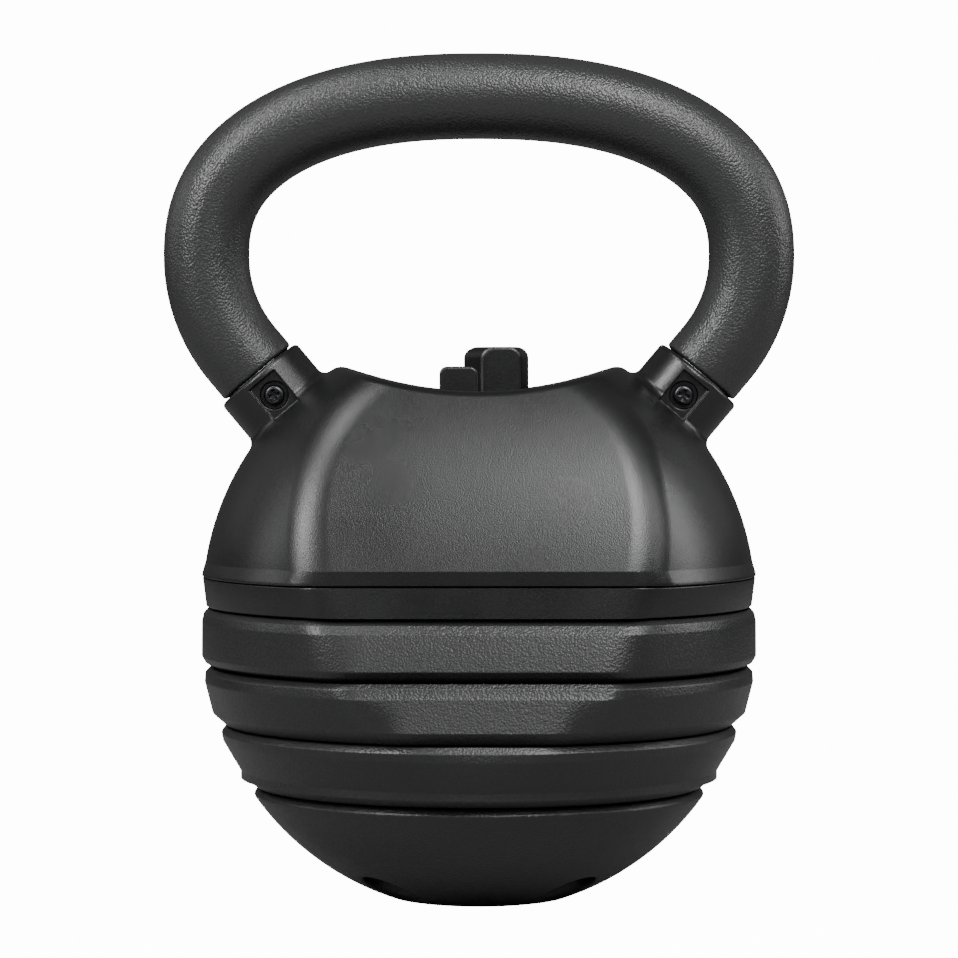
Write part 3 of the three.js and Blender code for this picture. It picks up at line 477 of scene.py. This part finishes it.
def shell_field(x, y, z):
    """Hollow upper shell: ball body, two bored sockets with screw pads, dial opening and slider slot."""
    body = ball_body(x, y, z, 0.0, FLAT_EDGE, SADDLE_EDGE, band=BAND_RISE)
    cavity = ball_body(x, y, z, SHELL_WALL, CAVITY_EDGE, CAVITY_EDGE)
    for side in (-1, 1):
        depth, across = in_socket(side, x, z)
        round_wall = np.hypot(across, y)
        boss = cut_round(cut_round(round_wall - BOSS_RADIUS, -depth, COLLAR_EDGE), depth - BOSS_DEPTH, 1.0)
        body = join_round(body, boss, BOSS_FILLET)
        cavity = drop_round(cavity, boss, 1.0)
        pad = np.maximum(np.abs(depth - SCREW_DEPTH) - PAD_HALF_LENGTH, np.abs(across) - PAD_HALF_WIDTH)
        pad = cut_round(pad, PAD_FACE - np.abs(y), PAD_FLOOR_EDGE)
        body = drop_round(body, pad, PAD_EDGE)
        sink = np.hypot(depth - SCREW_DEPTH, across)
        body = drop_round(body, np.maximum(sink - COUNTERBORE, SCREW_SEAT - np.abs(y)), SLOT_EDGE)
    solid = drop_round(body, cavity, 1.0)
    for side in (-1, 1):
        depth, across = in_socket(side, x, z)
        bore = np.maximum(np.hypot(across, y) - BOSS_BORE, depth - BOSS_BORE_DEPTH)
        solid = drop_round(solid, bore, OPENING_EDGE)
    opening = np.maximum(upright(x, y, DIAL_OPENING), SADDLE_LOW - OPENING_DEPTH - z)
    solid = drop_round(solid, opening, OPENING_EDGE)
    solid = drop_round(solid, block(x, y, z, *SLIDER_SLOT), SLOT_EDGE)
    return cut_round(solid, SHELL_BOTTOM - z, FOOT_EDGE)


def make_shell():
    points, faces = skin_of(shell_field, *SHELL_BOX, BODY_GRID, (SOCKETS_X, SCREWS_Y, BAND_AND_SCREWS_Z))
    new_piece("shell_moulding", points, faces, "handle_unit", "shell_plastic",
              ["upper_shell"], shell_field)


# ---------------------------------------------------------------- rings

def plate_outline(node, wall, radii):
    """Moulded cover of one plate: outer wall, top skin, the channel for the casting, and bottom skin."""
    low, high = box_mm(node)
    bottom, top = low[2], high[2]
    outer = [(radius, bottom + height, inset) for radius, height, inset in wall]
    channel = wall[len(wall) // 2][0] - SKIN - CHANNEL_INSET
    (low_radius, _, low_inset), (top_radius, _, top_inset) = wall[0], wall[-1]
    inner = [
        (top_radius - RIM, top, top_inset + RIM), (HUB_BORE + RIM, top, None),
        (HUB_BORE, top, None), (HUB_BORE, top - SKIN, None),
        (channel, top - SKIN, SKIN + CHANNEL_INSET), (channel, bottom + SKIN, SKIN + CHANNEL_INSET),
        (HUB_BORE, bottom + SKIN, None), (HUB_BORE, bottom, None),
        (HUB_BORE + RIM, bottom, None), (low_radius - RIM, bottom, low_inset + RIM),
    ]
    return fillet(outer + inner, list(radii) + [0, 0, 0.5, 0.5, 0, 0, 0.5, 0.5, 0, 0])


def make_plates():
    for level, (wall, radii) in PLATE_WALLS.items():
        node, body = f"plate_{level}_cover", f"plate_{level}"
        low, high = box_mm(node)
        points, faces = ring_mesh(plate_outline(node, wall, radii), edge=PLATE_EDGES[level])
        piece = new_piece(f"plate_{level}_moulding", points, faces, body, "grained_plastic", [node])
        holes = [(side * PIN_REACH, 0, PIN_HOLE, low[2] - 1, low[2] + 4) for side in (-1, 1)]
        holes += [(side * PIN_REACH, 0, PIN_RADIUS + PIN_GAP, high[2] - 4, high[2] + 1) for side in (-1, 1)]
        drill(piece, holes)


def make_skirt():
    (_, _, bottom), _ = box_mm("base_skirt")
    floor = bottom + SKIRT_FLOOR
    upper, lower = SKIRT_RADIUS_TOP, SKIRT_RADIUS_BOTTOM
    corners = [
        (lower, bottom, SKIRT_INSET), (upper, SKIRT_TOP, 0.0),
        (upper - SHELL_WALL, SKIRT_TOP, SHELL_WALL), (lower - SHELL_WALL, floor, SHELL_WALL),
        (SHAFT_HOLE, floor, None), (SHAFT_HOLE, bottom, None), (lower - RIM, bottom, SKIRT_INSET + RIM),
    ]
    points, faces = ring_mesh(fillet(corners, (0.8, 0.5, 0.5, 1.0, 0.4, 0.4, 0)), edge=SKIRT_EDGE)
    piece = new_piece("skirt_moulding", points, faces, "handle_unit", "shell_plastic", ["base_skirt"])
    drill(piece, [(side * PIN_REACH, 0, PIN_HOLE, bottom - 1, bottom + 5) for side in (-1, 1)])


# ---------------------------------------------------------------- bowl and foot

def bowl_field(x, y, z):
    """Hollow bowl with a lip, a seat for the foot pad, four screw pockets and two pin holes."""
    (_, _, _), (_, _, top) = BOWL_BOX
    pad_radius, pad_top = PAD_BOX[1][0], PAD_BOX[1][2]
    radius, centre = LOWER_BALL
    across = np.hypot(x, y)
    ball = np.sqrt(x * x + y * y + (z - centre) ** 2) - radius
    lip_foot = top - LIP_HEIGHT
    lip = across - (ball_radius(LOWER_BALL, lip_foot) - (z - lip_foot) * LIP_LEAN)
    body = cut_round(cut_round(ball, lip, 1.0), z - top, 0.8)
    hollow = np.maximum(np.maximum(ball + SKIN, z - (top - SKIN)), BOWL_FLOOR - z)
    pad_seat = np.maximum(across - (pad_radius + PAD_GAP), z - (pad_top + PAD_GAP))
    body = drop_round(body, pad_seat, 0.6)
    for spot in POCKETS:
        cup = np.maximum(upright(x, y, POCKET_RADIUS + POCKET_WALL, spot), z - (POCKET_CEILING + SKIN))
        hollow = np.maximum(hollow, -cup)
        body = drop_round(body, np.maximum(upright(x, y, POCKET_RADIUS, spot), z - POCKET_CEILING), 1.8)
    body = np.maximum(body, -hollow)
    for side in (-1, 1):
        pin = upright(x, y, PIN_RADIUS + PIN_GAP, (side * PIN_REACH, 0))
        body = np.maximum(body, -np.maximum(pin, (top - 6) - z))
    return drop_round(body, np.maximum(across - HUB_BORE, (top - SKIN - 1) - z), 0.5)


def make_bowl():
    points, faces = skin_of(bowl_field, *BOWL_BOX, BODY_GRID)
    new_piece("bowl_moulding", points, faces, "bottom_weight", "grained_plastic",
              ["bottom_cover"], bowl_field)


def make_pad():
    _, high = PAD_BOX
    radius, height = high[0], high[2]
    corners = [(0.01, 0.4, None), (6, 0.4, None)]
    radii = [0, 0]
    for groove in PAD_GROOVES:
        for reach, z in ((-1, 0), (0, 0.9), (1, 0.9), (2, 0)):
            corners.append((groove + reach * GROOVE_HALF, z, None))
            radii.append(0.2)
    corners += [(radius, 0, None), (radius, height, None), (0.01, height, None)]
    radii += [1.2, 0.4, 0]
    points, faces = ring_mesh(fillet(corners, radii, steps=3), segments=128)
    new_piece("foot_pad", points, faces, "bottom_weight", "foot_rubber", ["base_pad"])


# ---------------------------------------------------------------- dial, knob and slider

def make_dial():
    (_, _, bottom), (flange, _, top) = DIAL_BOX
    step, floor = bottom + DIAL_STEP, top - GROOVE_DEPTH
    outline = [(0.01, bottom), (flange, bottom), (flange, step), (DIAL_DISC, step), (DIAL_DISC, top)]
    outline += zip(DIAL_GROOVE, (top, floor, floor, top))
    outline += [(0.01, top)]
    corners = [(radius, z, None) for radius, z in outline]
    radii = (0, 0.3, 0.3, 0.2, 0.8, 0.1, 0.1, 0.1, 0.1, 0)
    points, faces = ring_mesh(fillet(corners, radii, steps=3), segments=128)
    piece = new_piece("dial_disc", points, faces, "selector", "nylon", ["selector_dial"])
    drill(piece, [(NOTCH_REACH * math.cos(a), NOTCH_REACH * math.sin(a), NOTCH_RADIUS, bottom - 1, step + 0.1)
                  for a in np.radians(NOTCH_ANGLES)])


def knob_field(x, y, z):
    """Block that narrows towards its front face, rounded over the top."""
    low, high = KNOB_BOX
    narrow = 1 - np.clip((y - low[1]) / KNOB_TAPER, 0, 1)
    left = (low[0] + KNOB_LEFT_TAPER * narrow) - x
    right = x - (high[0] - KNOB_RIGHT_TAPER * narrow)
    profile = cut_round(np.maximum(left * LEFT_SLOPE, right * RIGHT_SLOPE), z - high[2], 4.5)
    ends = np.maximum(low[1] - y, y - high[1])
    return np.maximum(cut_round(profile, ends, 1.3), low[2] - z)


def make_knob():
    points, faces = skin_of(knob_field, *KNOB_BOX, KNOB_GRID)
    new_piece("knob", points, faces, "selector", "shell_plastic", ["selector_knob"], knob_field)


def tab_field(x, y, z):
    """Round-topped tab on a flat base, with a tongue behind it."""
    low, high = TAB_BOX
    tab_rear, base_top = TAB_FRONT + TAB_DEPTH, low[2] + TAB_BASE
    profile = cut_round(np.maximum(TAB_LEFT - x, x - TAB_RIGHT), z - high[2], 3.0)
    tab = cut_round(profile, np.maximum(TAB_FRONT - y, y - tab_rear), 1.1)
    base = block(x, y, z, low, (high[0], tab_rear, base_top))
    tongue = block(x, y, z, (-TONGUE_HALF, low[1], low[2]), (TONGUE_HALF, high[1], base_top))
    return np.maximum(np.minimum(np.minimum(tab, base), tongue), low[2] - z)


def make_tab():
    points, faces = skin_of(tab_field, *TAB_BOX, KNOB_GRID)
    new_piece("lock_tab", points, faces, "lock", "shell_plastic", ["lock_slider"], tab_field)


# ---------------------------------------------------------------- screws

def screw_field(head, height, shank, length):
    """Pan-head cross-recess screw along +Z, its seat at zero and its shank below."""
    def field(x, y, z):
        across = np.hypot(x, y)
        cap = cut_round(np.maximum(across - head, -z), z - height, height * 0.62)
        depth = height - z
        wing = 0.42 + 0.1 * (height - depth)
        reach = 0.56 * head - 0.35 * depth
        slots = np.minimum(np.maximum(np.abs(x) - wing, np.abs(y) - reach),
                           np.maximum(np.abs(y) - wing, np.abs(x) - reach))
        centre = across - (0.27 * head - 0.2 * depth)
        recess = np.maximum(np.minimum(slots, centre), depth - 0.62 * height)
        cap = drop_round(cap, recess, 0.15)
        stem = np.maximum(across - shank, np.maximum(z - 0.5, -length - z))
        return np.minimum(cap, stem)
    return field


def make_screws():
    head, height, _, length = SOCKET_SCREW
    corners = (-head, -head, -length), (head, head, height)
    points, faces = skin_of(screw_field(*SOCKET_SCREW), *corners, SCREW_GRID)
    x, y, z = points.T
    spot = COLLAR - SCREW_DEPTH * np.array([math.sin(BOW_DIVE), math.cos(BOW_DIVE)])
    for word, side in (("left", -1), ("right", 1)):
        for end, facing in (("front", -1), ("rear", 1)):
            turn = math.radians(SCREW_TURN * side * facing)
            across = x * math.cos(turn) - y * math.sin(turn)
            up = x * math.sin(turn) + y * math.cos(turn)
            placed = np.stack([-facing * across, facing * z, up], axis=1)
            placed += [side * spot[0], facing * (SCREW_SEAT + SCREW_PROUD), spot[1]]
            new_piece(f"socket_screw_{end}_{word}", placed, faces, "handle_unit", "black_screw",
                      [f"handle_screw_{end}_{word}"])
    head, height, _, length = POCKET_SCREW
    corners = (-head, -head, -length), (head, head, height)
    points, faces = skin_of(screw_field(*POCKET_SCREW), *corners, POCKET_SCREW_GRID)
    for number, (x, y) in enumerate(POCKETS, 1):
        placed = points * [1, -1, -1] + [x, y, POCKET_CEILING - SCREW_SUNK]
        new_piece(f"pocket_screw_{number}", placed, faces, "bottom_weight", "black_screw",
                  [f"bottom_screw_{number}"])


# ---------------------------------------------------------------- materials

CELL_SHARE, PEBBLE_SHARE, SAND_SHARE = 1.3, 0.3, 0.8   # parts of the grain's height
MOTTLE_SCALE = 22.0                    # broad changes of gloss, per metre
PLASTIC_SPREAD, METAL_SPREAD, EDGE_WEAR = 0.12, 0.1, 0.02

# Colour, roughness, then the size of the pebbles, the size of the sand and the grain's depth, in metres.
GRAINS = {
    "shell_plastic": ((0.006, 0.0061, 0.0065), 0.3, 0.0005, 0.0004, 0.00003),
    "grained_plastic": ((0.011, 0.0112, 0.0118), 0.34, 0.0009, 0.0004, 0.00008),
    "grip_sleeve": ((0.022, 0.0222, 0.023), 0.33, 0.0009, 0.0005, 0.00014),
    "foot_rubber": ((0.01, 0.01, 0.01), 0.8, 0.001, 0.0004, 0.0001),
    "cast_weight": ((0.06, 0.06, 0.063), 0.62, 0.0014, 0.0005, 0.0002),
    "nylon": ((0.02, 0.02, 0.021), 0.5, 0.0008, 0.0003, 0.00005),
}

# Colour, roughness and the size of the uneven polish, in metres.
METALS = {
    "black_screw": ((0.05, 0.05, 0.055), 0.3, 0.0008),
    "plain_steel": ((0.5, 0.51, 0.53), 0.35, 0.0009),
}


def node_material(name, colour, roughness, build):
    """Material whose shader starts from one colour and roughness and is finished by a builder."""
    material = bpy.data.materials.new(name)
    material.use_nodes = True
    tree = material.node_tree
    shader = tree.nodes["Principled BSDF"]
    shader.inputs["Roughness"].default_value = roughness
    shader.inputs["Base Color"].default_value = (*colour, 1)
    build(tree, shader)
    return material


def add(tree, kind, **inputs):
    """New node with its sockets linked or set, a name's underscores standing for spaces."""
    node = tree.nodes.new(kind)
    for name, value in inputs.items():
        socket = node.inputs[name.replace("_", " ")]
        if isinstance(value, bpy.types.NodeSocket):
            tree.links.new(value, socket)
        else:
            socket.default_value = value
    return node


def maths(tree, operation, a, b):
    node = tree.nodes.new("ShaderNodeMath")
    node.operation = operation
    for socket, value in zip(node.inputs, (a, b)):
        if isinstance(value, bpy.types.NodeSocket):
            tree.links.new(value, socket)
        else:
            socket.default_value = value
    return node.outputs[0]


def ranged(tree, value, low, high, new_low, new_high):
    """A value stretched from one range to another."""
    node = tree.nodes.new("ShaderNodeMapRange")
    tree.links.new(value, node.inputs["Value"])
    for name, number in (("From Min", low), ("From Max", high), ("To Min", new_low), ("To Max", new_high)):
        node.inputs[name].default_value = number
    return node.outputs["Result"]


def tint(tree, shader, colour, factor, spread):
    """Base colour that swings a little either side of the part's colour."""
    ramp = tree.nodes.new("ShaderNodeValToRGB")
    tree.links.new(factor, ramp.inputs["Fac"])
    ramp.color_ramp.elements[0].position, ramp.color_ramp.elements[1].position = 0.3, 0.7
    ramp.color_ramp.elements[0].color = (*[c * (1 - spread) for c in colour], 1)
    ramp.color_ramp.elements[1].color = (*[c * (1 + spread) for c in colour], 1)
    tree.links.new(ramp.outputs["Color"], shader.inputs["Base Color"])


def grained(colour, roughness, cell, sand, depth):
    """Moulded plastic or rubber: pebbled grain of one size over fine sand, a little paler on worn edges."""
    def build(tree, shader):
        place = tree.nodes.new("ShaderNodeTexCoord").outputs["Object"]
        pebbles = add(tree, "ShaderNodeTexNoise", Vector=place, Scale=0.8 / cell, Detail=1.0, Roughness=0.5)
        cells = tree.nodes.new("ShaderNodeTexVoronoi")
        cells.feature = "SMOOTH_F1"
        tree.links.new(place, cells.inputs["Vector"])
        cells.inputs["Scale"].default_value = 1 / cell
        cells.inputs["Smoothness"].default_value = 0.25
        grit = add(tree, "ShaderNodeTexNoise", Vector=place, Scale=0.8 / sand, Detail=1.0, Roughness=0.5)
        broad = add(tree, "ShaderNodeTexNoise", Vector=place, Scale=MOTTLE_SCALE, Detail=3.0)
        shape = maths(tree, "ADD", maths(tree, "MULTIPLY", cells.outputs["Distance"], -CELL_SHARE),
                      maths(tree, "MULTIPLY", pebbles.outputs["Fac"], PEBBLE_SHARE))
        sandy = maths(tree, "MULTIPLY", grit.outputs["Fac"], SAND_SHARE * sand / cell)
        bump = tree.nodes.new("ShaderNodeBump")
        bump.inputs["Strength"].default_value = 1.0
        bump.inputs["Distance"].default_value = depth
        tree.links.new(maths(tree, "ADD", shape, sandy), bump.inputs["Height"])
        tree.links.new(bump.outputs["Normal"], shader.inputs["Normal"])
        rough = ranged(tree, broad.outputs["Fac"], 0.3, 0.7, roughness - 0.05, roughness + 0.06)
        tree.links.new(rough, shader.inputs["Roughness"])
        edges = tree.nodes.new("ShaderNodeNewGeometry").outputs["Pointiness"]
        worn = ranged(tree, edges, 0.52, 0.6, 0, EDGE_WEAR)
        tint(tree, shader, colour, maths(tree, "ADD", pebbles.outputs["Fac"], worn), PLASTIC_SPREAD)
    return build


def metal(colour, roughness, streak):
    """Plain or blackened metal with fine, uneven polish."""
    def build(tree, shader):
        place = tree.nodes.new("ShaderNodeTexCoord").outputs["Object"]
        shader.inputs["Metallic"].default_value = 1.0
        fine = add(tree, "ShaderNodeTexNoise", Vector=place, Scale=1 / streak, Detail=4.0)
        rough = ranged(tree, fine.outputs["Fac"], 0.3, 0.7, roughness - 0.06, roughness + 0.08)
        tree.links.new(rough, shader.inputs["Roughness"])
        bump = tree.nodes.new("ShaderNodeBump")
        bump.inputs["Strength"].default_value = 0.3
        bump.inputs["Distance"].default_value = streak * 0.1
        tree.links.new(fine.outputs["Fac"], bump.inputs["Height"])
        tree.links.new(bump.outputs["Normal"], shader.inputs["Normal"])
        tint(tree, shader, colour, fine.outputs["Fac"], METAL_SPREAD)
    return build


def paint_everything():
    """Each shown piece and CAD node takes the finish of its material slot."""
    made = {}
    for slot, (colour, roughness, *grain) in GRAINS.items():
        made[slot] = node_material(slot, colour, roughness, grained(colour, roughness, *grain))
    for slot, (colour, roughness, streak) in METALS.items():
        made[slot] = node_material(slot, colour, roughness, metal(colour, roughness, streak))
    slot_of = {row["node"]: row["material_slot"] for row in frame["record"]["subparts"]}
    for name, node in frame["nodes"].items():
        node.data.materials.clear()
        node.data.materials.append(made[slot_of[name]])
    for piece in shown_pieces():
        if "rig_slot" in piece:
            piece.data.materials.clear()
            piece.data.materials.append(made[piece["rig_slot"]])


# ---------------------------------------------------------------- stage, lights and camera, in metres

CAMERA_DISTANCE, CAMERA_HEIGHT, CAMERA_TILT = 1.49, 0.205, math.radians(1.58)
CAMERA_LENS, CAMERA_SENSOR = 142.8, 36     # millimetres
FLOOR_SIZE, FLOOR_DROP, FLOOR_GREY = 12, 0.0004, 0.25
FLOOR_SEEN, BACKDROP_SEEN, BACKDROP_LIT = 13.8, 14.0, 0.09
AIM = (0, 0, 0.17)                     # every light faces this point

# Name, azimuth from the front and elevation in degrees, distance, width and height, watts.
LIGHTS = (
    ("left_strip", -50, 36, 1.5, (0.22, 0.8), 17),
    ("left_high", -60, 68, 1.4, (0.4, 0.4), 5),
    ("left_low", -55, 15, 1.5, (0.26, 0.5), 2.1),
    ("right_strip", 25, 45, 1.5, (0.35, 0.9), 18),
    ("right_inner_strip", 12, 46, 1.5, (0.35, 1.0), 3.6),
    ("right_outer_strip", 55, 36, 1.5, (0.26, 0.8), 4.4),
    ("front_low", 0, 20, 1.7, (1.2, 0.3), 3.2),
    ("left_side", -95, 20, 1.5, (0.5, 0.8), 2.4),
    ("right_side", 95, 20, 1.5, (0.5, 0.8), 7),
    ("left_rim", -125, 22, 1.5, (0.7, 0.8), 0.4),
    ("right_rim", 125, 22, 1.5, (0.7, 0.8), 0.5),
)


def area_light(name, azimuth, elevation, distance, size, watts):
    data = bpy.data.lights.new(name, "AREA")
    data.shape, data.size, data.size_y, data.energy = "RECTANGLE", size[0], size[1], watts
    light = bpy.data.objects.new(name, data)
    bpy.context.scene.collection.objects.link(light)
    turn, lift = math.radians(azimuth), math.radians(elevation)
    ahead = Vector((math.cos(lift) * math.sin(turn), -math.cos(lift) * math.cos(turn), math.sin(lift)))
    light.location = Vector(AIM) + distance * ahead
    light.rotation_euler = (-ahead).to_track_quat("-Z", "Y").to_euler()


def camera_bright(tree, seen, lit):
    """Strength that is one number for what the camera sees and another for the light it gives."""
    path = tree.nodes.new("ShaderNodeLightPath")
    return ranged(tree, path.outputs["Is Camera Ray"], 0, 1, lit, seen)


def make_stage():
    bpy.ops.mesh.primitive_plane_add(size=FLOOR_SIZE, location=(0, 0, -FLOOR_DROP))
    floor = bpy.context.object
    floor.name = "floor"
    paint = bpy.data.materials.new("pale_floor")
    paint.use_nodes = True
    shader = paint.node_tree.nodes["Principled BSDF"]
    shader.inputs["Base Color"].default_value = (FLOOR_GREY, FLOOR_GREY, FLOOR_GREY, 1)
    shader.inputs["Roughness"].default_value = 0.9
    shader.inputs["Emission Color"].default_value = (1, 1, 1, 1)
    glow = camera_bright(paint.node_tree, FLOOR_SEEN, 0.0)
    paint.node_tree.links.new(glow, shader.inputs["Emission Strength"])
    floor.data.materials.append(paint)

    world = bpy.data.worlds.new("studio")
    bpy.context.scene.world = world
    world.use_nodes = True
    tree = world.node_tree
    background = tree.nodes["Background"]
    background.inputs["Color"].default_value = (1, 1, 1, 1)
    tree.links.new(camera_bright(tree, BACKDROP_SEEN, BACKDROP_LIT), background.inputs["Strength"])

    for light in LIGHTS:
        area_light(*light)


def make_camera():
    data = bpy.data.cameras.new("camera")
    data.lens, data.sensor_width = CAMERA_LENS, CAMERA_SENSOR
    camera = bpy.data.objects.new("camera", data)
    bpy.context.scene.collection.objects.link(camera)
    camera.location = (0, -CAMERA_DISTANCE, CAMERA_HEIGHT)
    camera.rotation_euler = (math.radians(90) - CAMERA_TILT, 0, 0)
    bpy.context.scene.camera = camera


make_grip()
make_shell()
make_skirt()
make_plates()
make_bowl()
make_pad()
make_dial()
make_knob()
make_tab()
make_screws()
paint_everything()
make_stage()
make_camera()
